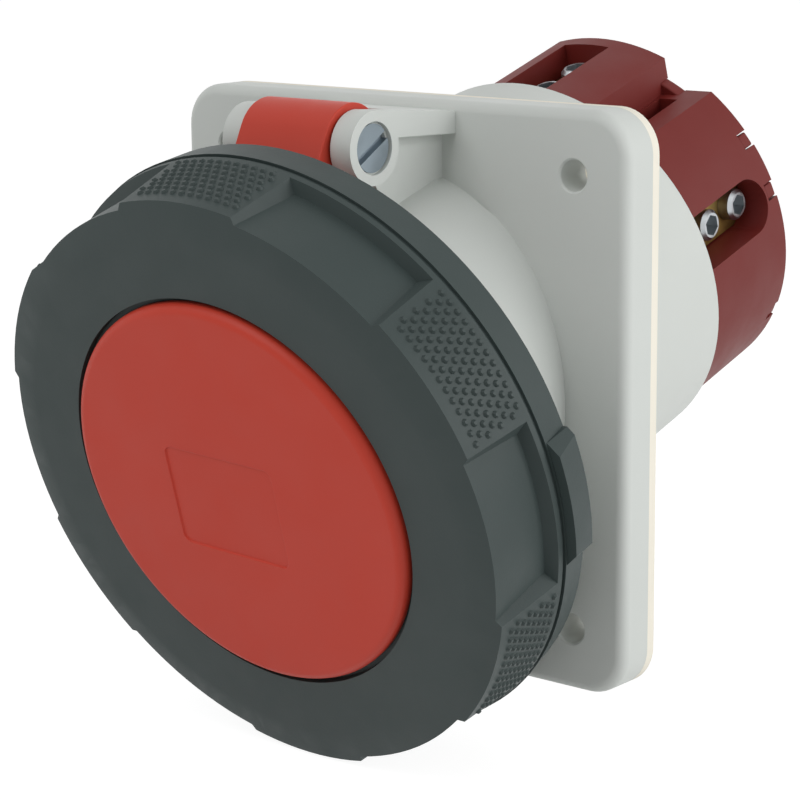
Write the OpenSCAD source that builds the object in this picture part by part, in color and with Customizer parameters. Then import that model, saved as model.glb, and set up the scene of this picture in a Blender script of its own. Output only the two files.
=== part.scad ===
// Industrial panel socket, leaning downwards, with a hinged lid and a bayonet ring.
//
// The origin is the middle of the mounting plane, where the gasket meets the panel.
// +Y goes into the panel, +X is to the right as seen from the front, +Z is up.
// on_axis() gives the socket's own frame: x across, y up, and z forward along the
// socket's axis, which crosses the mounting plane at z = 0. A station is a z there.
// Angles round the axis start at the top and grow clockwise as seen from the front.

/* [Flange] */
// Width and height of the square flange
flange_w = 130; // [126:1:140]
// Thickness of the flange, without the gasket
flange_t = 9.4; // [8.4:0.2:10.4]
// Radius of the flange's corners
flange_corner_r = 10; // [7:0.5:13]
// Rounding of the flange's front edge
flange_edge_r = 2.6; // [1:0.2:3.4]
// Distance between neighbouring fixing holes
hole_pitch = 101.4; // [98:0.2:106]
// Diameter of the fixing holes
hole_d = 7; // [5:0.5:8]
// Width of the bevel round the mouth of a fixing hole
hole_bevel = 0.4; // [0.2:0.1:0.8]
// Thickness of the gasket behind the flange
gasket_t = 2.4; // [1.5:0.1:3.5]
// Diameter of the gasket's window and of the hollow behind the flange
window_d = 112; // [108:1:116]
// Depth of the hollow behind the flange
hollow_depth = 5; // [3:0.5:6]

/* [Socket axis] */
// Angle by which the axis leans down towards the front
tilt = 17.5; // [15:0.5:19]
// Height at which the axis crosses the mounting plane
axis_z = 3; // [1:0.5:5]

/* [Collar and tube] */
// Outer diameter of the front collar
collar_d = 98; // [96:0.5:100]
// Bore of the front collar
collar_bore = 91; // [90.4:0.2:92]
// Station of the collar's mouth
collar_front = 55.5; // [54:0.5:58]
// Outer diameter of the tube behind the flange
tube_d = 97; // [96:0.5:99]
// Station of the tube's end, behind the mounting plane
tube_back = -51.2; // [-54:0.2:-49]
// Width of the keyway in the collar
keyway_w = 9; // [7:0.5:11]
// Depth of the keyway
keyway_depth = 1.8; // [1:0.1:2.2]
// Thickness of the inner ledge that the carrier is screwed to
ledge_t = 3.5; // [2.5:0.5:4.5]
// Station of the back of that ledge
ledge_back = 6.5; // [4:0.5:8]

/* [Bayonet] */
// Height of the two cams on the collar
cam_h = 6.4; // [5:0.2:7]
// Length of a cam along the axis
cam_len = 7; // [5:0.5:8]
// Distance from the collar's mouth to the cams
cam_setback = 4.2; // [3:0.2:6]
// Angle that a cam covers
cam_sweep = 36; // [28:1:38]
// Turn of the ring from released to locked
lock_turn = 40; // [38:1:44]
// Angle of the first lug when the ring is released
lug_angle = 92; // [88:1:96]
// Angle that a lug covers
lug_sweep = 24; // [18:1:26]
// Thickness of a lug at its tip
lug_t = 4.4; // [3.4:0.2:5]
// Play between a lug and the back of its cam
cam_play = 0.6; // [0.4:0.1:1]

/* [Hinge] */
// Distance from the flange's front face to the hinge axis
hinge_reach = 27.9; // [27:0.1:30]
// Height of the hinge axis above the middle of the flange
hinge_z = 57.1; // [56:0.1:59]
// Diameter of the lid's hinge barrel
barrel_d = 19; // [18:0.5:20]
// Width of the lid's hinge barrel
barrel_w = 25; // [22:0.5:26]
// Diameter of the two ears
ear_d = 16.2; // [15:0.2:17]
// Width of each ear
ear_w = 5.6; // [4.6:0.2:6.6]
// Gap between the barrel and each ear
ear_gap = 0.5; // [0.4:0.1:0.8]
// Diameter of the hinge pin
pin_d = 10.6; // [9:0.2:11]
// Diameter of the recess round each end of the pin
pin_recess_d = 11.6; // [11.4:0.1:12]
// Depth of that recess
pin_recess = 1.2; // [0.8:0.1:1.6]
// Radial play of the barrel on the pin
pin_play = 0.06; // [0.04:0.01:0.08]
// Width of the screwdriver slot in each end of the pin
pin_slot_w = 1.8; // [1.2:0.1:2.2]
// Depth of the screwdriver slot
pin_slot_depth = 1.6; // [1:0.1:2]
// Width of the neck below the ears
neck_w = 29.2; // [28:0.2:32]
// Thickness of the deck that joins the ears to the flange
deck_t = 4.9; // [4:0.1:6]

/* [Lid] */
// Diameter of the lid's plate
plate_d = 113; // [110:1:116]
// Thickness of the lid's plate
plate_t = 4.7; // [4.2:0.1:5.4]
// Diameter of the hub that the ring turns on
hub_d = 86.8; // [84:0.4:88]
// Height of the hub
hub_h = 4; // [3.4:0.1:4.6]
// Thickness of the arm between plate and barrel
arm_t = 5.6; // [4.6:0.1:6]
// Diameter of the visible disc
disc_d = 92.4; // [90.6:0.2:93.2]
// Thickness of the visible disc
disc_t = 3.6; // [3.2:0.1:4.4]
// Rounding of the disc's edge
disc_edge_r = 2.2; // [1.2:0.2:2.6]
// Width of the label recess in the disc
label_w = 31; // [24:1:36]
// Height of the label recess
label_h = 24.4; // [18:0.4:28]
// Depth of the label recess
label_depth = 0.4; // [0.2:0.1:0.8]
// Outer diameter of the seal behind the plate
seal_od = 100.6; // [99:0.2:102]
// Inner diameter of the seal
seal_id = 88.8; // [87:0.2:90]
// Thickness of the seal
seal_t = 3; // [2.4:0.2:3.6]
// Depth of the seal's groove in the plate
seal_groove = 1.5; // [1.1:0.1:2]
// Circle of the four screws through plate and hub
lid_screw_circle = 64; // [56:1:70]
// Diameter of those screws
lid_screw_d = 4; // [3:0.5:5]

/* [Locking ring] */
// Station of the ring's back edge
ring_back = 38; // [37:0.1:39]
// Diameter at the ring's back edge
ring_back_d = 140; // [139:0.2:141]
// Diameter at the front of the back lip
lip_front_d = 142; // [141.2:0.2:143]
// Length of the back lip along the axis
lip_len = 7.8; // [6.6:0.2:8.4]
// Width of the groove in front of the lip
groove_w = 0.9; // [0.6:0.1:1.4]
// Depth of that groove
groove_depth = 0.7; // [0.4:0.1:1]
// Diameter at the ring's front edge
ring_front_d = 138.2; // [137:0.2:139]
// Inner diameter of the ring's skirt
skirt_bore = 127; // [126:0.2:128]
// Diameter where the flat front meets the front bevel
front_flat_d = 121.4; // [116:0.4:126]
// Length of the front bevel along the axis
front_bevel = 1.8; // [1.2:0.1:2.4]
// Thickness of the ring's front wall
front_wall = 5.5; // [5:0.1:6]
// Gap between the visible disc and the ring
disc_gap = 1.2; // [0.9:0.1:1.4]
// Number of finger pockets round the ring
pocket_count = 6; // [5:1:7]
// Angle of the first finger pocket
pocket_start = 30.8; // [25:0.2:35]
// Half the angle that a pocket covers at its back
pocket_half = 14; // [11:0.2:15]
// Angle by which a pocket widens towards the front
pocket_splay = 6.5; // [2:0.5:9]
// Angle by which a pocket's side walls lean outwards
pocket_lean = 38; // [10:1:45]
// Diameter of a pocket's floor
pocket_floor_d = 135.3; // [134.6:0.1:136]
// Distance from the groove to a pocket's back wall
pocket_inset = 1; // [0.6:0.1:2]
// Height of the two bulges on the lip, outside the lugs
bulge_h = 2.3; // [1:0.1:3]
// Angle that a bulge covers
bulge_sweep = 23; // [16:1:28]

/* [Insert] */
// Diameter of the insert
insert_d = 79.6; // [78.8:0.2:80.4]
// Distance from the collar's mouth down to the insert's face
insert_recess = 5.5; // [4:0.5:8]
// Circle that the five contacts stand on
contact_circle = 62; // [60:0.5:63]
// Thickness of the seal in front of the insert's base
carrier_seal_t = 2; // [1.4:0.2:2.6]
// Thickness of the insert's base
base_t = 8.5; // [7:0.5:10]
// Diameter of the four screws in the ledge
carrier_screw_d = 3; // [2.4:0.2:3.4]

/* [Terminal housing] */
// Diameter of the terminal housing behind the tube
housing_d = 93.6; // [92.6:0.2:94.6]
// Station of the terminal housing's end
housing_back = -85.5; // [-88:0.5:-84]
// Height of the flats beside the top rib
flat_y = 34.3; // [33:0.1:36]
// Right side of the top rib
rib_right = 19.7; // [17:0.1:21]
// Left side of the top rib
rib_left = -11.4; // [-13:0.1:-10]
// Width of the slots over the terminal screws
slot_w = 13.4; // [12.8:0.1:14]
// Station of the slots' back ends
slot_back = -81.2; // [-82:0.1:-80.6]
// Diameter of the rear cover
cover_d = 84; // [83:0.5:85]
// Thickness of the rear cover
cover_t = 3.4; // [2.6:0.2:4]
// Width of the cover's snap tabs
tab_w = 3.6; // [2.6:0.2:4.6]
// Diameter of the three long tie screws
tie_d = 4; // [3:0.5:4.5]

/* [Contacts] */
// Bore of a phase or neutral contact
phase_bore = 10.2; // [9.6:0.1:10.6]
// Bore of the earth contact
earth_bore = 11; // [10.4:0.1:11.4]
// Wall of a contact's sleeve
sleeve_wall = 1.3; // [1:0.1:1.5]
// Bore of the pilot contact
pilot_bore = 6.2; // [5:0.2:7]
// Depth of the contacts below the insert's face
contact_depth = 4; // [3:0.5:6]
// Width of a terminal block
block_w = 12.6; // [12:0.1:13]
// Bore for the conductor
conductor_bore = 10; // [8:0.2:10.2]
// Diameter of a terminal screw
clamp_screw_d = 7.8; // [6.6:0.2:8.2]
// Distance between a terminal's two screws
clamp_pitch = 12.2; // [10.6:0.2:13]
// Width across the flats of a screw's hexagon socket
hex_flats = 4.6; // [3.6:0.2:5]

/* [Hidden] */
$fn = 96;
eps = 0.01;
fit = 0.3;            // gap between pieces that lie against each other
slide = 0.1;          // gap round a screw or a sleeve in its hole
root = 2;             // how far a piece reaches into the one that it grows from

// Colours
grey_shell = "#c6cbc7";
slate = "#454d4d";
signal_red = "#a8403a";
dark_red = "#7a2f29";
cream = "#ece8dc";
steel = "#8c9196";
brass = "#c9a44c";
black = "#222426";

// Flange, measured forward from the mounting plane
face = gasket_t + flange_t;

// Hinge, in the row's frame and in the socket's own frame
hinge_y = -(face + hinge_reach);
hinge_up = -hinge_y * sin(tilt) + (hinge_z - axis_z) * cos(tilt);
hinge_station = -hinge_y * cos(tilt) - (hinge_z - axis_z) * sin(tilt);
ear_end = barrel_w / 2 + ear_gap + ear_w;
barrel_room = 0.9;    // gap between the barrel and the neck behind it
deck_rear_z = hinge_z + 5.6;
neck_top_rear = 3;    // heights of the neck's corners above the hinge axis
neck_top_front = 5;
neck_low_front = -18;
neck_low_rear = -22;
pin_end = 0.6;        // how far the pin stands out of its recesses
pin_slot_turn = 30;

// Stations of the lid and the ring
seal_back = collar_front + fit;
seal_front = seal_back + seal_t;
plate_back = seal_front - seal_groove;
plate_front = plate_back + plate_t;
hub_front = plate_front + hub_h;
disc_front = hub_front + disc_t;
ring_wall_back = plate_front + fit;
ring_front = ring_wall_back + front_wall;
ring_lip_front = hub_front - fit;
ring_bore = hub_d + 2 * fit;
disc_hole = disc_d + 2 * disc_gap;
groove_back = ring_back + lip_len;
pocket_back = groove_back + groove_w + pocket_inset;
grip_step = 0.3;      // how far the grip's back edge lies below the lip
pocket_floor_back = pocket_back + 1.4;
arm_low = hinge_up - barrel_d / 2 + 0.3;
seal_play = 0.2;      // gap beside the seal in its groove
lid_head_d = 1.8 * lid_screw_d;
lid_head_room_d = 2 * lid_screw_d;
lid_head_front = plate_back + 2.4;
lid_head_back = plate_back + 0.2;
lid_cross_w = 0.9;
label_corner_r = 2;
label_at = [-3, -2.5];
label_turn = -3;
lid_screw_room = 1.2; // disc left in front of the screws' holes
lid_head_gap = 0.2;   // gap in front of each screw's tip
arm_high = arm_low + arm_t;

// Bayonet: the lugs pass behind the cams
cam_front = collar_front - cam_setback;
cam_back = cam_front - cam_len;
lug_front = cam_back - cam_play;
lug_back = lug_front - lug_t;
lug_tip_r = collar_d / 2 + 2;      // clear of the collar
bulge_setback = 0.4;   // from the lip's front to the bulge's front
cam_angle = lug_angle + lock_turn;
cam_bevel = 2;
bulge_ramp = 1.6 * bulge_h;
lug_root_h = 3;       // how far a lug's root on the skirt reaches past its tip, each way

// Insert
insert_front = collar_front - insert_recess;
ledge_front = ledge_back + ledge_t;
base_front = ledge_back - carrier_seal_t;
base_back = base_front - base_t;
base_d = collar_bore - 2 * fit;
gap_mid_r = (collar_bore + insert_d) / 4;
ledge_bore = insert_d + 2 * fit;
carrier_screw_angles = [for (i = [0:3]) 45 + 90 * i];
screw_head_h = 2;
carrier_head_d = carrier_screw_d * 1.6;
carrier_slot_w = 1;
entry_play = 1;       // how much wider a contact's entry is than its bore
pilot_entry_play = 0.8;

// Terminal housing
shoulder = tube_back - fit;
housing_core_d = collar_bore - 2 * fit;
cover_front = housing_back + cover_t;
block_back = cover_front + fit;
block_front = shoulder + 1;
block_top = 8.5;      // from the contact's middle to the screwed side of its block
block_play = 0.2;
contact_angles = [0, 72, 144, 216, 288];
terminal_dirs = [0, 90, 180, 180, 270];
clamp_mid = (slot_back + shoulder) / 2 - 3;
clamp_head = 12;      // from the contact's middle to the top of its screws
tie_angles = [108, 180, 252];
tie_head_d = tie_d * 1.8;
tie_head_front = cover_front + 3;
tie_hex_depth = 1.2;
tab_inset = 0.3;      // how far a tab's outside lies below the housing's surface
tab_root = 3;
slot_overrun = 0.5;   // how far a slot runs into the shoulder
tab_angles = [60.5, 77.5, 119.5, 240.5, 282.5, 299.5];
pilot_dir = 34.9;     // direction of the pilot terminal's screw
pilot_r = pilot_bore / 2 + sleeve_wall;
pilot_block_r = 5.2;
pilot_wire_d = 5;     // hole in the cover for the pilot's wire
pilot_conductor_bore = 4;
pilot_screw_d = 4;
pilot_screw_foot = 1;
pilot_screw_head = 10.5;
pilot_hex_flats = 2;
pilot_key_d = 5;      // hole for the screwdriver, from the pocket beside the rib
pilot_pocket = [5.2, 12, 21];
pilot_pocket_at = [rib_right + 0.8, flat_y - 9, -79.5];
pilot_key_end = flat_y - 4;

cover_entry_play = 2;  // how much wider the cover's holes are than the conductors' bores
sleeve_root = 0.5;     // how far a sleeve reaches into its block
slit_back = ledge_front + 8;
slit_w = 1;
pilot_slit_w = 0.8;
conductor_end = block_front - 4;
clamp_foot = 3.4;      // from the contact's middle to the foot of its screws
clamp_bevel = 0.8;
hex_depth = 4;
spring_station = insert_front - contact_depth - 6;
spring_groove_w = 3;
spring_groove_depth = 0.6;
spring_t = 0.5;
spring_play = 0.2;
spring_open = 20;      // angle of a spring ring's split

// ---------- frames and small helpers ----------

// The socket's own frame
module on_axis() translate([0, 0, axis_z]) rotate([90 + tilt, 0, 0]) children();

// Turn by an angle round the axis, from the top towards the right
module turned(angle) rotate([0, 0, -angle]) children();

// A frame that looks out of the panel: z is the distance in front of it
module facing_front() rotate([90, 0, 0]) children();

// Extrude an outline drawn in y and z across the width w
module across(w) translate([-w / 2, 0, 0]) rotate([90, 0, 90]) linear_extrude(w) children();

// A round piece between two stations
module round_bar(d, from, to) translate([0, 0, from]) cylinder(d = d, h = to - from);

// A tube between two stations
module tube_piece(d_in, d_out, from, to)
    rotate_extrude() translate([d_in / 2, from]) square([(d_out - d_in) / 2, to - from]);

// A point on the circle of radius r round c where the line from p touches it
function touch_point(c, r, p, side) =
    let (d = p - c, far = norm(d), base = atan2(d[1], d[0]), open = acos(r / far))
    c + r * [cos(base + side * open), sin(base + side * open)];

// A square plate with round corners and a rounded front edge, 0 to t in z
module rounded_plate(w, t, corner, edge) {
    straight = w - 2 * corner;
    module side_profile(width) {
        translate([-width / 2, 0]) square([width, t - edge]);
        translate([-width / 2 + edge, 0]) square([width - 2 * edge, t]);
        for (s = [-1, 1]) translate([s * (width / 2 - edge), t - edge]) circle(edge);
    }
    for (q = [0, 90]) rotate([0, 0, q])
        rotate([90, 0, 0]) translate([0, 0, -straight / 2])
            linear_extrude(straight) side_profile(w);
    for (sx = [-1, 1], sy = [-1, 1]) translate([sx, sy, 0] * straight / 2)
        rotate_extrude() intersection() {
            side_profile(2 * corner);
            square([corner, t]);
        }
}

module at_holes() for (sx = [-1, 1], sz = [-1, 1])
    translate([sx * hole_pitch / 2, 0, sz * hole_pitch / 2]) facing_front() children();

module at_contact(i) turned(contact_angles[i]) translate([0, contact_circle / 2, 0])
    turned(terminal_dirs[i] - contact_angles[i]) children();

// ---------- flange housing ----------

module hinge_deck() difference() {
    across(2 * ear_end) polygon([
        [-face + root, deck_rear_z], [hinge_y, hinge_z + ear_d / 2],
        [hinge_y, hinge_z + root], [-face + root, deck_rear_z - deck_t]]);
    barrel_space();
}

module hinge_neck() across(neck_w) polygon([
    [-face + root, hinge_z + neck_top_rear], [hinge_y + root, hinge_z + neck_top_front],
    [hinge_y + root, hinge_z - neck_top_front],
    [hinge_y + barrel_d / 2 + root, hinge_z + neck_low_front],
    [-face + root, hinge_z + neck_low_rear]]);

// Room for the lid's barrel and arm between the ears
module barrel_space() across(barrel_w + 2 * ear_gap) {
    translate([hinge_y, hinge_z]) circle(barrel_d / 2 + barrel_room);
    // The arm's room, open to the front, from well below to well above the barrel
    reach = 20;
    translate([hinge_y - reach, hinge_z - 2 * reach])
        square([reach + barrel_d / 2 + barrel_room, 3 * reach]);
}

module hinge_ears() for (s = [-1, 1])
    translate([s * (ear_end - ear_w / 2), hinge_y, hinge_z]) rotate([0, 90, 0])
        cylinder(d = ear_d, h = ear_w, center = true);

module collar_cams() for (i = [0, 1]) turned(cam_angle + 180 * i)
    rotate([0, 0, 90 - cam_sweep / 2]) rotate_extrude(angle = cam_sweep) polygon([
        [collar_bore / 2 + 1, cam_back], [collar_d / 2 + cam_h, cam_back],
        [collar_d / 2 + cam_h, cam_front - cam_bevel],
        [collar_d / 2 + cam_h - cam_bevel, cam_front],
        [collar_bore / 2 + 1, cam_front]]);

module flange_housing() color(grey_shell) difference() {
    union() {
        difference() {
            union() {
                translate([0, -gasket_t, 0]) facing_front()
                    rounded_plate(flange_w, flange_t, flange_corner_r, flange_edge_r);
                difference() {
                    union() {
                        hinge_neck();
                        hinge_deck();
                        hinge_ears();
                    }
                    barrel_space();
                    rotate([0, 90, 0]) translate([-hinge_z, hinge_y, 0])
                        cylinder(d = pin_d, h = 2 * ear_end + 1, center = true);
                    for (s = [-1, 1]) translate([s * ear_end, hinge_y, hinge_z])
                        rotate([0, 90, 0])
                            cylinder(d = pin_recess_d, h = 2 * pin_recess, center = true);
                }
            }
            translate([0, -gasket_t + 1, 0]) facing_front()
                cylinder(d = window_d, h = hollow_depth + 1);
        }
        on_axis() {
            round_bar(tube_d, tube_back, collar_d / 4);
            round_bar(collar_d, 0, collar_front);
            collar_cams();
        }
    }
    on_axis() {
        difference() {
            round_bar(collar_bore, tube_back - 1, collar_front + 1);
            tube_piece(ledge_bore, collar_bore + 1, ledge_back, ledge_front);
        }
        translate([-keyway_w / 2, 0, ledge_front])
            cube([keyway_w, collar_bore / 2 + keyway_depth, collar_front]);
        for (q = carrier_screw_angles) turned(q) translate([0, gap_mid_r, ledge_back - 1])
            cylinder(d = carrier_screw_d + 2 * slide, h = ledge_t + 2);
    }
    at_holes() {
        cylinder(d = hole_d, h = face + 1);
        translate([0, 0, face - hole_bevel])
            cylinder(d1 = hole_d, d2 = hole_d + 4 * hole_bevel, h = 2 * hole_bevel);
    }
}

module panel_gasket() color(cream) difference() {
    facing_front() linear_extrude(gasket_t) union() {
        for (q = [0, 90]) rotate(q)
            square([flange_w, flange_w - 2 * flange_corner_r], center = true);
        for (sx = [-1, 1], sy = [-1, 1])
            translate([sx, sy] * (flange_w / 2 - flange_corner_r)) circle(flange_corner_r);
    }
    translate([0, 1, 0]) facing_front() cylinder(d = window_d, h = gasket_t + 2);
    translate([0, 1, 0]) at_holes() cylinder(d = hole_d, h = gasket_t + 2);
}

// ---------- insert and terminal housing ----------

module contact_carrier() color(dark_red) on_axis() difference() {
    union() {
        round_bar(insert_d, base_back, insert_front);
        round_bar(base_d, base_back, base_front);
    }
    for (i = [0:4]) at_contact(i) contact_room(i);
    round_bar(pilot_bore + pilot_entry_play, base_back - 1, insert_front + 1);
    round_bar(2 * (pilot_r + slide), base_back - 1, insert_front - contact_depth + fit);
    for (q = carrier_screw_angles) turned(q)
        translate([0, gap_mid_r, base_back + 1.5]) cylinder(d = carrier_screw_d, h = base_t);
    for (q = tie_angles) turned(q)
        translate([0, contact_circle / 2, base_back - 1]) cylinder(d = tie_d, h = base_t + 1);
}

function bore_of(i) = i == 0 ? earth_bore : phase_bore;
function sleeve_d(i) = bore_of(i) + 2 * sleeve_wall;

module contact_room(i) {
    round_bar(bore_of(i) + entry_play, base_back - 1, insert_front + 1);
    round_bar(sleeve_d(i) + 2 * slide, base_back - 1, insert_front - contact_depth + fit);
}

module carrier_seal() color(black) on_axis() difference() {
    tube_piece(ledge_bore, base_d, base_front, ledge_back);
    for (q = carrier_screw_angles) turned(q) translate([0, gap_mid_r, base_front - 1])
        cylinder(d = carrier_screw_d + 2 * slide, h = carrier_seal_t + 2);
}

module carrier_screws() color(steel) on_axis() for (q = carrier_screw_angles)
    turned(q) translate([0, gap_mid_r, 0]) difference() {
        union() {
            round_bar(carrier_screw_d, base_back + 2, ledge_front + eps);
            round_bar(carrier_head_d, ledge_front, ledge_front + screw_head_h);
        }
        translate([0, 0, ledge_front + screw_head_h])
            cube([carrier_slot_w, 2 * carrier_screw_d, screw_head_h], center = true);
    }

// Outline of a slot over the screws, along the axis, with a square or a round back end
module slot_outline(rounded) {
    r = rounded ? slot_w / 2 - eps : 0;
    translate([-slot_w / 2, slot_back + r]) square([slot_w, shoulder + slot_overrun - slot_back - r]);
    if (rounded) translate([0, slot_back + r]) circle(r);
}

// Room for one contact's shank and terminal block, and the slot over its screws
module terminal_room(i) {
    round_bar(sleeve_d(i) + 2 * slide, block_front - 1, base_back + 1);
    translate([-block_w / 2 - block_play, -block_w / 2 - block_play, housing_back - 1])
        cube([block_w + 2 * block_play, block_w / 2 + block_top + 2 * block_play,
            block_front - housing_back + 1]);
    translate([0, block_top - 1, 0]) rotate([90, 0, 0]) mirror([0, 0, 1])
        linear_extrude(housing_d / 2) slot_outline(i > 0);
}

module cover_tabs(play) for (q = tab_angles) turned(q)
    translate([-tab_w / 2 - play, cover_d / 2 - tab_root, housing_back - 1])
        cube([tab_w + 2 * play, housing_d / 2, 1 + cover_t + play]);

module terminal_housing() color(dark_red) on_axis() difference() {
    union() {
        round_bar(housing_d, housing_back, shoulder);
        round_bar(housing_core_d, shoulder - 1, base_back - eps);
    }
    // The flats on both sides of the top rib
    translate([rib_right, flat_y, housing_back - 1])
        cube([housing_d, housing_d, shoulder - housing_back + 1]);
    translate([rib_left - housing_d, flat_y, housing_back - 1])
        cube([housing_d, housing_d, shoulder - housing_back + 1]);
    for (i = [0:4]) at_contact(i) terminal_room(i);
    // The pilot contact's shank, terminal and screw, and the pocket above the screw
    round_bar(2 * (pilot_r + slide), block_front - 1, base_back + 1);
    round_bar(2 * (pilot_block_r + slide), housing_back - 1, block_front);
    turned(pilot_dir) translate([0, 0, clamp_mid]) rotate([-90, 0, 0])
        cylinder(d = pilot_key_d, h = pilot_key_end / cos(pilot_dir));
    translate(pilot_pocket_at) cube(pilot_pocket);
    // The rear cover, its tabs and the tie screws
    round_bar(cover_d + 2 * slide, housing_back - 1, cover_front);
    cover_tabs(fit);
    for (q = tie_angles) turned(q) translate([0, contact_circle / 2, 0]) {
        round_bar(tie_d + 2 * slide, housing_back, base_back + 1);
        round_bar(tie_head_d + 2 * slide, housing_back, tie_head_front);
    }
}

module rear_cover() color(dark_red) on_axis() difference() {
    union() {
        round_bar(cover_d, housing_back, cover_front - eps);
        intersection() {
            cover_tabs(0);
            round_bar(housing_d - 2 * tab_inset, housing_back, cover_front - eps);
        }
    }
    for (i = [0:4]) at_contact(i)
        round_bar(conductor_bore + cover_entry_play, housing_back - 1, cover_front + 1);
    round_bar(pilot_wire_d, housing_back - 1, cover_front + 1);
}

module tie_screws() color(steel) on_axis() for (q = tie_angles)
    turned(q) translate([0, contact_circle / 2, 0]) difference() {
        union() {
            round_bar(tie_d, cover_front + 2, base_front - 2);
            round_bar(tie_head_d, cover_front + fit, tie_head_front);
        }
        translate([0, 0, cover_front + fit])
            cylinder(d = tie_d, h = 2 * tie_hex_depth, center = true, $fn = 6);
    }

// ---------- contacts ----------

// A turned contact: split sleeve in front, terminal block behind
module contact(i) color(brass) on_axis() at_contact(i) {
    front = insert_front - contact_depth;
    difference() {
        union() {
            round_bar(sleeve_d(i), block_front - sleeve_root, front);
            translate([-block_w / 2, -block_w / 2, block_back])
                cube([block_w, block_w / 2 + block_top, block_front - block_back]);
        }
        round_bar(bore_of(i), ledge_front, front + 1);
        for (q = [0, 90]) rotate([0, 0, q]) translate([-slit_w / 2, -bore_of(i), slit_back])
            cube([slit_w, 2 * bore_of(i), front]);
        spring_groove(i);
        round_bar(conductor_bore, block_back - 1, conductor_end);
        for (s = [-1, 1]) translate([0, 0, clamp_mid + s * clamp_pitch / 2])
            rotate([-90, 0, 0]) cylinder(d = clamp_screw_d, h = block_top + 1);
    }
}

module spring_groove(i)
    tube_piece(sleeve_d(i) - 2 * spring_groove_depth, sleeve_d(i) + 2,
        spring_station, spring_station + spring_groove_w);

module contact_springs() color(steel) on_axis() for (i = [0:4]) at_contact(i)
    rotate([0, 0, spring_open / 2 - 90]) rotate_extrude(angle = 360 - spring_open)
        translate([sleeve_d(i) / 2 - spring_groove_depth + slide, spring_station + spring_play])
            square([spring_t, spring_groove_w - 2 * spring_play]);

module contact_pilot() color(brass) on_axis() difference() {
    front = insert_front - contact_depth;
    union() {
        round_bar(2 * pilot_r, block_front - sleeve_root, front);
        round_bar(2 * pilot_block_r, block_back, block_front);
    }
    round_bar(pilot_bore, ledge_front, front + 1);
    translate([-pilot_slit_w / 2, -pilot_bore, slit_back])
        cube([pilot_slit_w, 2 * pilot_bore, front]);
    round_bar(pilot_conductor_bore, block_back - 1, conductor_end);
    turned(pilot_dir) translate([0, 0, clamp_mid]) rotate([-90, 0, 0])
        cylinder(d = pilot_screw_d, h = pilot_block_r + 1);
}

// A screw with a hexagon socket, standing along y from the conductor's bore
module clamp_screw(d, from, to, flats) translate([0, from, 0]) rotate([-90, 0, 0])
    difference() {
        union() {
            cylinder(d = d, h = to - from - clamp_bevel);
            translate([0, 0, to - from - clamp_bevel])
                cylinder(d1 = d, d2 = d - 2 * clamp_bevel, h = clamp_bevel);
        }
        translate([0, 0, to - from - hex_depth])
            cylinder(d = flats / cos(30), h = hex_depth + 1, $fn = 6);
    }

module terminal_screws() color(steel) on_axis() {
    for (i = [0:4], s = [-1, 1]) at_contact(i)
        translate([0, 0, clamp_mid + s * clamp_pitch / 2])
            clamp_screw(clamp_screw_d - 2 * slide, clamp_foot, clamp_head, hex_flats);
    turned(pilot_dir) translate([0, 0, clamp_mid])
        clamp_screw(pilot_screw_d - 2 * slide, pilot_screw_foot, pilot_screw_head,
            pilot_hex_flats);
}

// ---------- lid ----------

module hinge_pin() color(steel) translate([0, hinge_y, hinge_z]) rotate([0, 90, 0])
    difference() {
        length = 2 * (ear_end - pin_recess + pin_end);
        cylinder(d = pin_d, h = length, center = true);
        for (s = [-1, 1]) translate([0, 0, s * length / 2]) rotate([0, 0, pin_slot_turn])
            cube([pin_slot_w, pin_d + 1, 2 * pin_slot_depth], center = true);
    }

module lid() color(signal_red) on_axis() {
    barrel = [hinge_up, hinge_station];
    arm_bend = [arm_high, ring_back];
    difference() {
        union() {
            round_bar(plate_d, plate_back, plate_front);
            round_bar(hub_d, plate_front - 1, hub_front);
            across(barrel_w) {
                polygon([[arm_low, plate_front], [arm_high, plate_front], arm_bend,
                    touch_point(barrel, barrel_d / 2, arm_bend, -1), barrel,
                    [arm_low, hinge_station]]);
                translate(barrel) circle(barrel_d / 2);
            }
        }
        tube_piece(seal_id - 2 * seal_play, seal_od + 2 * seal_play, plate_back - 1, seal_front);
        translate([0, hinge_up, hinge_station]) rotate([0, 90, 0])
            cylinder(d = pin_d + 2 * pin_play, h = barrel_w + 1, center = true);
        for (q = carrier_screw_angles) turned(q) translate([0, lid_screw_circle / 2, 0]) {
            round_bar(lid_screw_d + 2 * slide, plate_back - 1, hub_front + 1);
            round_bar(lid_head_room_d, plate_back - 1, lid_head_front);
        }
    }
}

module lid_disc() color(signal_red) on_axis() difference() {
    rotate_extrude() intersection() {
        union() {
            translate([0, hub_front]) square([disc_d / 2, disc_t - disc_edge_r]);
            translate([0, hub_front]) square([disc_d / 2 - disc_edge_r, disc_t]);
            translate([disc_d / 2 - disc_edge_r, disc_front - disc_edge_r]) circle(disc_edge_r);
        }
        translate([0, hub_front]) square([disc_d, disc_t]);
    }
    // The label recess, a little to the left and below the middle
    r = label_corner_r;
    translate([label_at[0], label_at[1], disc_front - label_depth]) rotate([0, 0, label_turn])
        linear_extrude(2 * label_depth) union() {
            square([label_w, label_h - 2 * r], center = true);
            square([label_w - 2 * r, label_h], center = true);
            for (sx = [-1, 1], sy = [-1, 1])
                translate([sx * (label_w / 2 - r), sy * (label_h / 2 - r)]) circle(r);
        }
    for (q = carrier_screw_angles) turned(q) translate([0, lid_screw_circle / 2, 0])
        round_bar(lid_screw_d, hub_front - 1, disc_front - lid_screw_room);
}

module lid_seal() color(black) on_axis()
    tube_piece(seal_id, seal_od, seal_back, seal_front);

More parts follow.
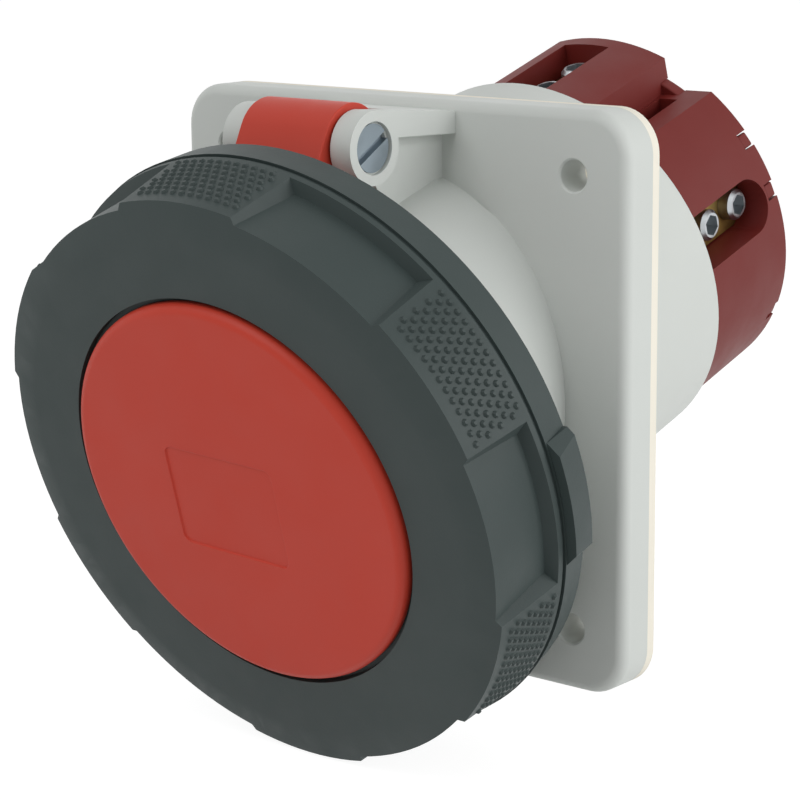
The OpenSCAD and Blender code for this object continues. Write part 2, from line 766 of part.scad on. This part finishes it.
module lid_screws() color(steel) on_axis() for (q = carrier_screw_angles)
    turned(q) translate([0, lid_screw_circle / 2, 0]) difference() {
        union() {
            round_bar(lid_screw_d, plate_back + 1, disc_front - lid_screw_room - lid_head_gap);
            round_bar(lid_head_d, lid_head_back, lid_head_front);
        }
        for (c = [0, 90]) rotate([0, 0, c]) translate([0, 0, plate_back])
            cube([lid_cross_w, lid_screw_d, lid_head_front - plate_back], center = true);
    }

// ---------- locking ring ----------

module ring_body() rotate_extrude() polygon([
    [skirt_bore / 2, ring_back], [ring_back_d / 2, ring_back],
    [lip_front_d / 2, groove_back], [lip_front_d / 2 - groove_depth, groove_back],
    [lip_front_d / 2 - groove_depth, groove_back + groove_w],
    [lip_front_d / 2 - grip_step, groove_back + groove_w],
    [ring_front_d / 2, ring_front - front_bevel], [front_flat_d / 2, ring_front],
    [disc_hole / 2, ring_front], [disc_hole / 2, ring_lip_front],
    [ring_bore / 2, ring_lip_front], [ring_bore / 2, ring_wall_back],
    [skirt_bore / 2, ring_wall_back]]);

// One finger pocket: a band whose side walls splay and lean outwards
module pocket_cut() {
    module beyond_wall(side)
        rotate([0, 0, -side * pocket_half]) translate([0, pocket_floor_d / 2, pocket_back])
            rotate([0, side * pocket_splay, 0]) rotate([0, 0, -side * pocket_lean])
                translate([side > 0 ? 0 : -60, -10, -10]) cube([60, 30, 50]);
    difference() {
        rotate([0, 0, 60]) rotate_extrude(angle = 60) polygon([
            [pocket_floor_d / 2, pocket_floor_back], [ring_back_d, pocket_back - 24],
            [ring_back_d, ring_front + 1], [pocket_floor_d / 2, ring_front + 1]]);
        beyond_wall(1);
        beyond_wall(-1);
    }
}

// A rise on the back lip, with sloping ends, over each lug
module lip_bulge() {
    r = lip_front_d / 2 + bulge_h;
    half = r * sin(bulge_sweep / 2);
    intersection() {
        rotate_extrude() polygon([
            [skirt_bore / 2 + 1, ring_back], [ring_back_d / 2 + bulge_h, ring_back],
            [r, groove_back - bulge_setback], [skirt_bore / 2 + 1, groove_back - bulge_setback]]);
        translate([0, 0, ring_back - 1]) linear_extrude(lip_len + 2) polygon([
            [-half, skirt_bore / 2], [-half, r * cos(bulge_sweep / 2) - bulge_h],
            [-half + bulge_ramp, r], [half - bulge_ramp, r],
            [half, r * cos(bulge_sweep / 2) - bulge_h], [half, skirt_bore / 2]]);
    }
}

module lug() rotate([0, 0, 90 - lug_sweep / 2]) rotate_extrude(angle = lug_sweep) polygon([
    [lug_tip_r, lug_back], [skirt_bore / 2 + 1, ring_back],
    [skirt_bore / 2 + 1, lug_front + lug_root_h],
    [collar_d / 2 + cam_h + lug_root_h, lug_front],
    [lug_tip_r, lug_front]]);

module bayonet_ring() color(slate) on_axis() {
    difference() {
        rotate([0, 0, 90]) ring_body();
        for (i = [0:pocket_count - 1])
            turned(pocket_start + i * 360 / pocket_count) pocket_cut();
    }
    for (i = [0, 1]) turned(lug_angle + 180 * i) {
        lug();
        lip_bulge();
    }
}

flange_housing();
panel_gasket();
contact_carrier();
carrier_seal();
carrier_screws();
terminal_housing();
rear_cover();
tie_screws();
contact(0);  // contact_earth
contact(1);  // contact_l1
contact(2);  // contact_l2
contact(3);  // contact_l3
contact(4);  // contact_neutral
contact_pilot();
contact_springs();
terminal_screws();
hinge_pin();
lid();
lid_disc();
lid_seal();
lid_screws();
bayonet_ring();
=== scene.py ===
"""Looks for the sloping panel socket: materials, grip dots, soft edges and the studio."""
import math

import bmesh
import bpy
from bpy.props import FloatProperty, FloatVectorProperty, IntProperty, PointerProperty
from mathutils import Matrix, Vector


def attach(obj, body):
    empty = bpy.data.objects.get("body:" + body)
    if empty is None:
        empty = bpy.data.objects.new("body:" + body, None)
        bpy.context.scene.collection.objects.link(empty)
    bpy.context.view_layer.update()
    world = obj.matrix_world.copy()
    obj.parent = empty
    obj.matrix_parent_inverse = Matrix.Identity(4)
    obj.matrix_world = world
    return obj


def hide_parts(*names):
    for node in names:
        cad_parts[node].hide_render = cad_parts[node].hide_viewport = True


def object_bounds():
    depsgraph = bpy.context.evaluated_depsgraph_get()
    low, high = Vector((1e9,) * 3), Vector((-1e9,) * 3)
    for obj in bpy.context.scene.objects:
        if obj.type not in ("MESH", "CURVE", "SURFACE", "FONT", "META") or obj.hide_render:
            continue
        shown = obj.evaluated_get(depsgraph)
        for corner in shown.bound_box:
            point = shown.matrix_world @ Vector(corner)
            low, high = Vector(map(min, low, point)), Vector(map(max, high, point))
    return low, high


bl_info = {
    "name": "Sloping panel socket",
    "version": (1, 0, 0),
    "blender": (4, 5, 0),
    "location": "View3D > Sidebar > Socket",
    "description": "Dresses a sloping panel socket with hinged lid and bayonet ring",
    "category": "Object",
}

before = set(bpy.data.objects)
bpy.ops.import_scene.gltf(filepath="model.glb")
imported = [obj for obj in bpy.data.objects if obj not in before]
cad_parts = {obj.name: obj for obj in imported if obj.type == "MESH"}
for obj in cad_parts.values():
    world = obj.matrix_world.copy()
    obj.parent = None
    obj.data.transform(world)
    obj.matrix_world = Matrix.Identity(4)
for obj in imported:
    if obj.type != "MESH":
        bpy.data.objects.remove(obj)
CAD_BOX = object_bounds()

MM = 0.001
TILT = math.radians(17.5)
# Height at which the leaning axis crosses the mounting plane
AXIS_HEIGHT = 3 * MM
# The socket's own frame: X to the right, Y up, Z forward along the leaning axis
AXIS_FRAME = Matrix.Translation((0, 0, AXIS_HEIGHT)) @ Matrix.Rotation(math.pi / 2 + TILT, 4, "X")

# Vertices closer than this are one, and faces within this angle are one flat face
WELD = 0.002 * MM
FLAT = math.radians(0.3)
# Edges sharper than this are rounded
ROUNDED_FROM = math.radians(28)
EDGE_SEGMENTS = 2


def linear(code):
    """An sRGB hex code as a linear RGBA colour."""
    parts = [int(code[i:i + 2], 16) / 255 for i in (1, 3, 5)]
    return tuple(c / 12.92 if c <= 0.04045 else ((c + 0.055) / 1.055) ** 2.4 for c in parts) + (1,)


def add(tree, kind, settings=None, **sockets):
    """Adds a node, sets its properties, and sets or links its inputs.

    An input is named by its label with _ for a blank, or by i and its number.
    """
    node = tree.nodes.new(kind)
    for key, value in (settings or {}).items():
        setattr(node, key, value)
    for key, value in sockets.items():
        numbered = key[0] == "i" and key[1:].isdigit()
        socket = node.inputs[int(key[1:]) if numbered else key.replace("_", " ")]
        if isinstance(value, bpy.types.NodeSocket):
            tree.links.new(value, socket)
        else:
            socket.default_value = value
    return node


# ---------- materials ----------

def new_material(name):
    made = bpy.data.materials.new(name)
    made.use_nodes = True
    made.node_tree.nodes.clear()
    return made, made.node_tree


# Flow clouds of a moulding, patches worn smooth by hands, and stains on a metal
CLOUD_MM = 1000 / 33
WEAR_MM = 1000 / 90
STAIN_MM = 1000 / 160
# Depth of a grain at full strength
GRAIN_DEPTH = 0.1 * MM


def moulded(name, colour, rough, grain_mm, grain, mottle):
    """Injection-moulded plastic: even colour, a fine eroded mould grain, faint flow clouds."""
    made, t = new_material(name)
    where = add(t, "ShaderNodeTexCoord").outputs["Object"]
    clouds = add(t, "ShaderNodeTexNoise", Vector=where, Scale=1000 / CLOUD_MM, Detail=3.0, Roughness=0.55)
    base = tuple(colour) + (1,)
    dark = tuple(c * (1 - mottle) for c in base[:3]) + (1,)
    light = tuple(min(1, c * (1 + mottle)) for c in base[:3]) + (1,)
    tint = add(t, "ShaderNodeMix", {"data_type": "RGBA"}, i0=clouds.outputs["Fac"], i6=dark, i7=light)
    # Mould grain: the eroded pits, drawn at grain_mm so that they show
    pits = add(t, "ShaderNodeTexNoise", Vector=where, Scale=1000 / grain_mm, Detail=2.0, Roughness=0.6)
    bump = add(t, "ShaderNodeBump", Height=pits.outputs["Fac"], Strength=grain, Distance=GRAIN_DEPTH)
    # Handling polishes the surface unevenly
    wear = add(t, "ShaderNodeTexNoise", Vector=where, Scale=1000 / WEAR_MM, Detail=4.0, Roughness=0.6)
    gloss = add(t, "ShaderNodeMapRange", Value=wear.outputs["Fac"], i1=0.3, i2=0.7,
                i3=rough - 0.04, i4=rough + 0.05)
    shader = add(t, "ShaderNodeBsdfPrincipled", Base_Color=tint.outputs[2],
                 Roughness=gloss.outputs["Result"], Normal=bump.outputs["Normal"])
    # The mould grain scatters the sheen, so the surface mirrors the room less than a polished one
    shader.inputs["Specular IOR Level"].default_value = 0.25
    add(t, "ShaderNodeOutputMaterial", Surface=shader.outputs["BSDF"])
    return made


def metal(name, colour, rough, brush_mm, brush):
    """A metal with the fine lines that turning or drawing leaves."""
    made, t = new_material(name)
    where = add(t, "ShaderNodeTexCoord").outputs["Object"]
    lines = add(t, "ShaderNodeTexNoise", Vector=where, Scale=1000 / brush_mm, Detail=3.0)
    bump = add(t, "ShaderNodeBump", Height=lines.outputs["Fac"], Strength=brush, Distance=GRAIN_DEPTH)
    stain = add(t, "ShaderNodeTexNoise", Vector=where, Scale=1000 / STAIN_MM, Detail=4.0)
    gloss = add(t, "ShaderNodeMapRange", Value=stain.outputs["Fac"], i1=0.3, i2=0.7,
                i3=rough - 0.08, i4=rough + 0.1)
    shader = add(t, "ShaderNodeBsdfPrincipled", Base_Color=tuple(colour) + (1,), Metallic=1.0,
                 Roughness=gloss.outputs["Result"], Normal=bump.outputs["Normal"])
    add(t, "ShaderNodeOutputMaterial", Surface=shader.outputs["BSDF"])
    return made


def make_materials(colours):
    """Every material of the socket, by the name of the piece's stuff."""
    return {
        # Polyamide shell, satin from a fine eroded mould, light pebble grey
        "shell": moulded(
            "moulded_polyamide_light_grey", colours.shell,
            rough=0.46, grain_mm=0.5, grain=0.12, mottle=0.02),
        # Glass-filled polyamide ring, near matt with a coarser grain
        "ring": moulded(
            "glass_filled_polyamide_slate", colours.ring,
            rough=0.50, grain_mm=0.55, grain=0.25, mottle=0.05),
        # Polyamide lid, satin red
        "red": moulded(
            "moulded_polyamide_red", colours.lid,
            rough=0.44, grain_mm=0.45, grain=0.16, mottle=0.03),
        # Thermoset-like terminal block plastic, smoother and darker
        "dark_red": moulded(
            "moulded_polyester_dark_red", colours.block,
            rough=0.50, grain_mm=0.6, grain=0.10, mottle=0.08),
        # Closed-cell foam gasket, dull cream
        "foam": moulded(
            "closed_cell_foam_cream", colours.gasket,
            rough=0.8, grain_mm=0.7, grain=0.35, mottle=0.03),
        # Nitrile rubber seals, dull black
        "rubber": moulded(
            "nitrile_rubber_black", colours.rubber,
            rough=0.6, grain_mm=0.6, grain=0.15, mottle=0.05),
        # Zinc-plated steel screws, bright with a bluish cast
        "zinc": metal("zinc_plated_steel", colours.zinc, rough=0.32, brush_mm=0.4, brush=0.1),
        # Phosphated steel of the hinge pin, dull blue-grey
        "pin": metal("phosphated_steel", colours.pin, rough=0.42, brush_mm=0.4, brush=0.12),
        # Machined brass of the contacts, its colour darkened as painted shade for the shaded contact block
        "brass": metal("machined_brass_painted_shade", colours.brass, rough=0.38, brush_mm=0.3, brush=0.08),
    }


MATERIALS = {}


def finish_node(node, key):
    """Gives a CAD node's slots the named material."""
    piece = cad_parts[node]
    for slot in piece.material_slots:
        slot.material = MATERIALS[key]
    if not piece.material_slots:
        piece.data.materials.append(MATERIALS[key])


# ---------- soft edges ----------

def softened(node, width_mm, key, body):
    """A copy of a CAD node whose edges are rounded as a mould leaves them."""
    name = "soft_" + node
    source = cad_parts[node]
    mesh = source.data.copy()
    mesh.name = name
    work = bmesh.new()
    work.from_mesh(mesh)
    bmesh.ops.remove_doubles(work, verts=work.verts, dist=WELD)
    bmesh.ops.dissolve_limit(work, angle_limit=FLAT, verts=work.verts, edges=work.edges)
    work.to_mesh(mesh)
    work.free()
    piece = bpy.data.objects.new(name, mesh)
    bpy.context.collection.objects.link(piece)
    mesh.materials.clear()
    mesh.materials.append(MATERIALS[key])
    mesh.shade_smooth()
    bevel = piece.modifiers.new("edge_radius", "BEVEL")
    bevel.width = width_mm * MM
    bevel.segments = EDGE_SEGMENTS
    bevel.limit_method = "ANGLE"
    bevel.angle_limit = ROUNDED_FROM
    bevel.use_clamp_overlap = True
    weighted = piece.modifiers.new("flat_faces_stay_flat", "WEIGHTED_NORMAL")
    weighted.mode = "FACE_AREA"
    weighted.weight = 100
    weighted.keep_sharp = True
    settle(piece, name)
    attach(piece, body)
    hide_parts(node)
    return piece


def settle(piece, name):
    """Turns a modified piece into a plain mesh."""
    live = piece.evaluated_get(bpy.context.evaluated_depsgraph_get())
    mesh = bpy.data.meshes.new_from_object(live)
    mesh.name = name
    piece.modifiers.clear()
    piece.data = mesh


# ---------- grip dots ----------

# The tree's inputs: label, kind and the setting that each comes from
GRIP_INPUTS = (
    ("Rows", "NodeSocketInt", "rows"), ("Columns", "NodeSocketInt", "columns"),
    ("Fields", "NodeSocketInt", "fields"), ("Pitch", "NodeSocketFloat", "pitch"),
    ("Row pitch", "NodeSocketFloat", "row_pitch"), ("Back station", "NodeSocketFloat", "back"),
    ("Back radius", "NodeSocketFloat", "back_radius"), ("Slope", "NodeSocketFloat", "slope"),
    ("Dot width", "NodeSocketFloat", "dot_width"), ("Dot height", "NodeSocketFloat", "dot_height"),
)
# A dot's sides, and its foot's and its top's radius as shares of its width
DOT_SIDES = 8
DOT_FOOT = 0.5
DOT_TOP = 0.24


def grip_tree():
    """A field of small blunt cones on the ring's cone, repeated round the axis."""
    tree = bpy.data.node_groups.new("grip_dots", "GeometryNodeTree")
    face = tree.interface
    names = {}
    for label, kind, setting in GRIP_INPUTS:
        names[setting] = face.new_socket(label, in_out="INPUT", socket_type=kind).identifier
    face.new_socket("Geometry", in_out="OUTPUT", socket_type="NodeSocketGeometry")
    given = add(tree, "NodeGroupInput").outputs

    def sums(kind, a, b=0.0, c=0.0):
        return add(tree, "ShaderNodeMath", {"operation": kind}, i0=a, i1=b, i2=c).outputs[0]

    count = sums("MULTIPLY", given["Rows"], given["Columns"])
    points = add(tree, "GeometryNodePoints", Count=count).outputs[0]
    index = add(tree, "GeometryNodeInputIndex").outputs[0]
    row = sums("FLOOR", sums("DIVIDE", sums("ADD", index, 0.5), given["Columns"]))
    column = sums("SUBTRACT", index, sums("MULTIPLY", row, given["Columns"]))
    # Every other row is set over by half a pitch
    stagger = sums("MULTIPLY", sums("MODULO", row, 2.0), 0.5)
    middle = sums("MULTIPLY", sums("SUBTRACT", given["Columns"], 1.5), 0.5)
    across = sums("MULTIPLY", sums("SUBTRACT", sums("ADD", column, stagger), middle), given["Pitch"])
    along = sums("MULTIPLY", row, given["Row pitch"])
    station = sums("ADD", given["Back station"], along)
    radius = sums("MULTIPLY_ADD", along, given["Slope"], given["Back radius"])
    angle = sums("DIVIDE", across, radius)
    place = add(tree, "ShaderNodeCombineXYZ", X=sums("MULTIPLY", radius, sums("SINE", angle)),
                Y=sums("MULTIPLY", radius, sums("COSINE", angle)), Z=station).outputs[0]
    outward = add(tree, "ShaderNodeCombineXYZ", X=sums("SINE", angle), Y=sums("COSINE", angle),
                  Z=sums("MULTIPLY", given["Slope"], -1.0)).outputs[0]
    set_points = add(tree, "GeometryNodeSetPosition", Geometry=points, Position=place).outputs[0]
    turn = add(tree, "FunctionNodeAlignRotationToVector", {"axis": "Z"}, Vector=outward).outputs[0]
    dot = add(tree, "GeometryNodeMeshCone", {"fill_type": "TRIANGLE_FAN"}, Vertices=DOT_SIDES,
              Radius_Top=sums("MULTIPLY", given["Dot width"], DOT_TOP),
              Radius_Bottom=sums("MULTIPLY", given["Dot width"], DOT_FOOT),
              Depth=given["Dot height"]).outputs[0]
    field = add(tree, "GeometryNodeInstanceOnPoints", Points=set_points, Instance=dot,
                Rotation=turn).outputs[0]
    field = add(tree, "GeometryNodeRealizeInstances", Geometry=field).outputs[0]
    ring_points = add(tree, "GeometryNodePoints", Count=given["Fields"]).outputs[0]
    share = sums("DIVIDE", math.tau, given["Fields"])
    spin = add(tree, "ShaderNodeCombineXYZ", X=0.0, Y=0.0, Z=sums("MULTIPLY", index, share)).outputs[0]
    whole = add(tree, "GeometryNodeInstanceOnPoints", Points=ring_points, Instance=field,
                Rotation=spin).outputs[0]
    whole = add(tree, "GeometryNodeRealizeInstances", Geometry=whole).outputs[0]
    whole = add(tree, "GeometryNodeSetMaterial", Geometry=whole, Material=MATERIALS["ring"]).outputs[0]
    out = add(tree, "NodeGroupOutput")
    tree.links.new(whole, out.inputs[0])
    return tree, names


# ---------- properties ----------

def colour_setting(name, description, code):
    """A colour setting whose default is an sRGB hex code."""
    return FloatVectorProperty(name=name, description=description, subtype="COLOR", size=3,
                               default=linear(code)[:3], min=0, max=1)


class SocketColours(bpy.types.PropertyGroup):
    shell: colour_setting("Shell", "Colour of the flange, collar and tube", "#d2d6d2")
    ring: colour_setting("Ring", "Colour of the locking ring", "#3a4443")
    lid: colour_setting("Lid", "Colour of the lid and its disc", "#c5402f")
    block: colour_setting("Block", "Colour of the insert and the terminal housing", "#6e231f")
    gasket: colour_setting("Gasket", "Colour of the foam gasket", "#f3eee0")
    rubber: colour_setting("Rubber", "Colour of the seals", "#1f2021")
    zinc: colour_setting("Zinc", "Colour of the screws", "#b9bdc0")
    pin: colour_setting("Pin", "Colour of the hinge pin", "#8b969e")
    # The contacts' brass is darkened: painted shade for their shaded block
    brass: colour_setting("Brass", "Colour of the contacts", "#8d7240")


class SocketGrip(bpy.types.PropertyGroup):
    rows: IntProperty(name="Rows", description="Rows of dots along the axis", default=8, min=2)
    columns: IntProperty(name="Columns", description="Dots round each field", default=12, min=2)
    fields: IntProperty(name="Fields", description="Fields round the ring", default=6, min=1)
    pitch: FloatProperty(name="Pitch", description="Distance between dots", unit="LENGTH",
                         default=2.5 * MM)
    row_pitch: FloatProperty(name="Row pitch", description="Distance between rows", unit="LENGTH",
                             default=1.95 * MM)
    back: FloatProperty(name="Back", description="Station of the last row", unit="LENGTH",
                        default=48.8 * MM)
    back_radius: FloatProperty(name="Radius", description="Ring radius there", unit="LENGTH",
                               default=70.42 * MM)
    slope: FloatProperty(name="Slope", description="Change of radius along the axis", default=-0.083)
    dot_width: FloatProperty(name="Dot width", description="Width of a dot's foot", unit="LENGTH",
                             default=1.8 * MM)
    dot_height: FloatProperty(name="Dot height", description="Height of a dot", unit="LENGTH",
                              default=0.7 * MM)


class SocketEdges(bpy.types.PropertyGroup):
    ring: FloatProperty(name="Ring edges", description="Edge radius of the ring in mm", default=0.6)
    shell: FloatProperty(name="Shell edges", description="Edge radius of the shell in mm", default=0.5)
    block: FloatProperty(name="Block edges", default=0.4,
                         description="Edge radius of the disc, terminal housing and cover in mm")


class SocketStage(bpy.types.PropertyGroup):
    azimuth: FloatProperty(name="Azimuth", description="Camera's way round, from the front to the right",
                           default=math.radians(39.879), subtype="ANGLE")
    elevation: FloatProperty(name="Elevation", description="Camera's height above the horizon",
                             default=math.radians(12.131), subtype="ANGLE")
    roll: FloatProperty(name="Roll", description="Camera's roll", subtype="ANGLE",
                        default=math.radians(-0.515))
    distance: FloatProperty(name="Distance", description="Camera to aim", default=0.60838, unit="LENGTH")
    aim: FloatVectorProperty(name="Aim", description="Point that the camera looks at",
                             default=(-0.008148, 0.0, -0.008238), subtype="XYZ", unit="LENGTH")
    lens: FloatProperty(name="Lens", description="Focal length in mm on a 36 mm sensor", default=115.25)
    key: FloatProperty(name="Key light", description="Power of the high front light in watts", default=5.0)
    fill: FloatProperty(name="Fill light", description="Power of the side light in watts", default=8.0)
    world: FloatProperty(name="World light", description="Strength of the even light", default=0.36)
    backdrop: FloatVectorProperty(name="Backdrop", description="Colour of the room", subtype="COLOR",
                                  size=3, default=(1.0, 1.0, 1.0), min=0, max=1)


# ---------- operators ----------

class SOCKET_OT_finish(bpy.types.Operator):
    """Makes the materials and gives them to the CAD nodes that stay as they are"""
    bl_idname = "socket.finish"
    bl_label = "Finish the plain pieces"

    def execute(self, context):
        MATERIALS.update(make_materials(context.scene.socket_colours))
        plain = {
            "flange_housing": "shell", "panel_gasket": "foam", "contact_carrier": "dark_red",
            "carrier_seal": "rubber", "carrier_screws": "zinc", "terminal_housing": "dark_red",
            "rear_cover": "dark_red", "tie_screws": "zinc", "contact_earth": "brass",
            "contact_l1": "brass", "contact_l2": "brass", "contact_l3": "brass",
            "contact_neutral": "brass", "contact_pilot": "brass", "contact_springs": "zinc",
            "terminal_screws": "zinc", "hinge_pin": "pin", "lid": "red", "lid_disc": "red",
            "lid_seal": "rubber", "lid_screws": "zinc", "bayonet_ring": "ring",
        }
        for node, key in plain.items():
            finish_node(node, key)
        return {"FINISHED"}


class SOCKET_OT_shell(bpy.types.Operator):
    """Rounds the edges of the housing, lid and terminal housing as their moulds do"""
    bl_idname = "socket.shell"
    bl_label = "Soften the moulded edges"

    def execute(self, context):
        edges = context.scene.socket_edges
        softened("flange_housing", edges.shell, "shell", "housing")
        softened("terminal_housing", edges.block, "dark_red", "housing")
        softened("lid", edges.shell, "red", "lid")
        softened("lid_disc", edges.block, "red", "lid")
        softened("rear_cover", edges.block, "dark_red", "housing")
        return {"FINISHED"}


class SOCKET_OT_ring(bpy.types.Operator):
    """Rounds the ring's edges and sets the grip dots on its fields"""
    bl_idname = "socket.ring"
    bl_label = "Dress the locking ring"

    def execute(self, context):
        edges = context.scene.socket_edges
        softened("bayonet_ring", edges.ring, "ring", "ring")
        grip = context.scene.socket_grip
        tree, names = grip_tree()
        dots = bpy.data.objects.new("grip_dots", bpy.data.meshes.new("grip_dots"))
        context.collection.objects.link(dots)
        maker = dots.modifiers.new("grip", "NODES")
        maker.node_group = tree
        for setting, identifier in names.items():
            maker[identifier] = getattr(grip, setting)
        settle(dots, "grip_dots")
        dots.data.transform(AXIS_FRAME)
        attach(dots, "ring")
        return {"FINISHED"}


# Where each lamp stands and its width and height, in metres
KEY_LAMP = ((-0.1, -0.8, 0.9), (0.9, 0.9))
SIDE_LAMP = ((1.1, 0.35, 0.3), (0.8, 0.9))
SENSOR_MM = 36
NEAR, FAR = 0.01, 20
FLOOR_HALF = 3.0
FLOOR_GAP = 0.5 * MM
# The part of the floor's look that glows evenly, and how bright that part is
FLOOR_GLOW = 0.7
FLOOR_GLOW_LEVEL = 1.3


class SOCKET_OT_stage(bpy.types.Operator):
    """Sets up the floor, the soft light and the camera"""
    bl_idname = "socket.stage"
    bl_label = "Set the stage"

    def execute(self, context):
        stage = context.scene.socket_stage
        scene = context.scene
        scene.view_settings.view_transform = "Standard"
        back = Vector((math.sin(stage.azimuth) * math.cos(stage.elevation),
                       -math.cos(stage.azimuth) * math.cos(stage.elevation), math.sin(stage.elevation)))
        aim = Vector(stage.aim)
        turn = back.to_track_quat("Z", "Y").to_matrix().to_4x4()
        data = bpy.data.cameras.new("camera")
        data.lens, data.sensor_width = stage.lens, SENSOR_MM
        data.clip_start, data.clip_end = NEAR, FAR
        camera = bpy.data.objects.new("camera", data)
        camera.matrix_world = (Matrix.Translation(aim + back * stage.distance) @ turn
                               @ Matrix.Rotation(stage.roll, 4, "Z"))
        context.collection.objects.link(camera)
        scene.camera = camera

        mesh = bpy.data.meshes.new("floor")
        half, height = FLOOR_HALF, CAD_BOX[0][2] - FLOOR_GAP
        mesh.from_pydata([(-half, -half, height), (half, -half, height), (half, half, height),
                          (-half, half, height)], [], [(0, 1, 2, 3)])
        floor = bpy.data.objects.new("floor", mesh)
        context.collection.objects.link(floor)
        mesh.materials.append(self.white_floor())

        def lamp(name, place, size, power):
            light = bpy.data.lights.new(name, "AREA")
            light.shape, light.size, light.size_y, light.energy = "RECTANGLE", size[0], size[1], power
            lamp_object = bpy.data.objects.new(name, light)
            lamp_object.matrix_world = (Matrix.Translation(place) @ (Vector(place) - aim)
                                        .to_track_quat("Z", "Y").to_matrix().to_4x4())
            context.collection.objects.link(lamp_object)

        lamp("overhead", *KEY_LAMP, stage.key)
        lamp("side", *SIDE_LAMP, stage.fill)

        world = bpy.data.worlds.new("room")
        scene.world = world
        world.use_nodes = True
        t = world.node_tree
        t.nodes.clear()
        seen = self.seen_rays(t)
        colour = tuple(stage.backdrop) + (1,)
        even = add(t, "ShaderNodeBackground", Color=colour, Strength=stage.world).outputs[0]
        shown = add(t, "ShaderNodeBackground", Color=colour, Strength=1.0).outputs[0]
        both = add(t, "ShaderNodeMixShader", i0=seen, i1=even, i2=shown).outputs[0]
        add(t, "ShaderNodeOutputWorld", Surface=both)
        return {"FINISHED"}

    def seen_rays(self, tree):
        """1 for rays from the camera and for reflections, which see a white room."""
        path = add(tree, "ShaderNodeLightPath").outputs
        mirrored = add(tree, "ShaderNodeMath", {"operation": "MAXIMUM"}, i0=path["Is Glossy Ray"],
                       i1=path["Is Transmission Ray"]).outputs[0]
        return add(tree, "ShaderNodeMath", {"operation": "MAXIMUM"}, i0=path["Is Camera Ray"],
                   i1=mirrored).outputs[0]

    def white_floor(self):
        made, t = new_material("matt_white_floor")
        paint = add(t, "ShaderNodeBsdfDiffuse", Color=linear("#f4f4f4")).outputs[0]
        glow = add(t, "ShaderNodeEmission", Color=(1, 1, 1, 1),
                   Strength=FLOOR_GLOW_LEVEL).outputs[0]
        share = add(t, "ShaderNodeMath", {"operation": "MULTIPLY"}, i0=self.seen_rays(t),
                    i1=FLOOR_GLOW).outputs[0]
        both = add(t, "ShaderNodeMixShader", i0=share, i1=paint, i2=glow).outputs[0]
        add(t, "ShaderNodeOutputMaterial", Surface=both)
        return made


class SOCKET_PT_panel(bpy.types.Panel):
    """Lists the steps and their settings"""
    bl_label = "Panel socket"
    bl_idname = "SOCKET_PT_panel"
    bl_space_type = "VIEW_3D"
    bl_region_type = "UI"
    bl_category = "Socket"

    def draw(self, context):
        for step in STEPS:
            self.layout.operator(step.bl_idname)
        for group in GROUPS:
            settings = getattr(context.scene, group)
            box = self.layout.box()
            for name in settings.bl_rna.properties.keys():
                if name not in ("rna_type", "name"):
                    box.prop(settings, name)


STEPS = (SOCKET_OT_finish, SOCKET_OT_shell, SOCKET_OT_ring, SOCKET_OT_stage)
GROUPS = {"socket_colours": SocketColours, "socket_grip": SocketGrip,
          "socket_edges": SocketEdges, "socket_stage": SocketStage}


def register():
    for kind in (*GROUPS.values(), *STEPS, SOCKET_PT_panel):
        bpy.utils.register_class(kind)
    for name, kind in GROUPS.items():
        setattr(bpy.types.Scene, name, PointerProperty(type=kind))


def unregister():
    for name in GROUPS:
        delattr(bpy.types.Scene, name)
    for kind in (SOCKET_PT_panel, *reversed(STEPS), *reversed(GROUPS.values())):
        bpy.utils.unregister_class(kind)


def main():
    register()
    bpy.ops.socket.finish()
    bpy.ops.socket.shell()
    bpy.ops.socket.ring()
    bpy.ops.socket.stage()


if __name__ == "__main__":
    main()
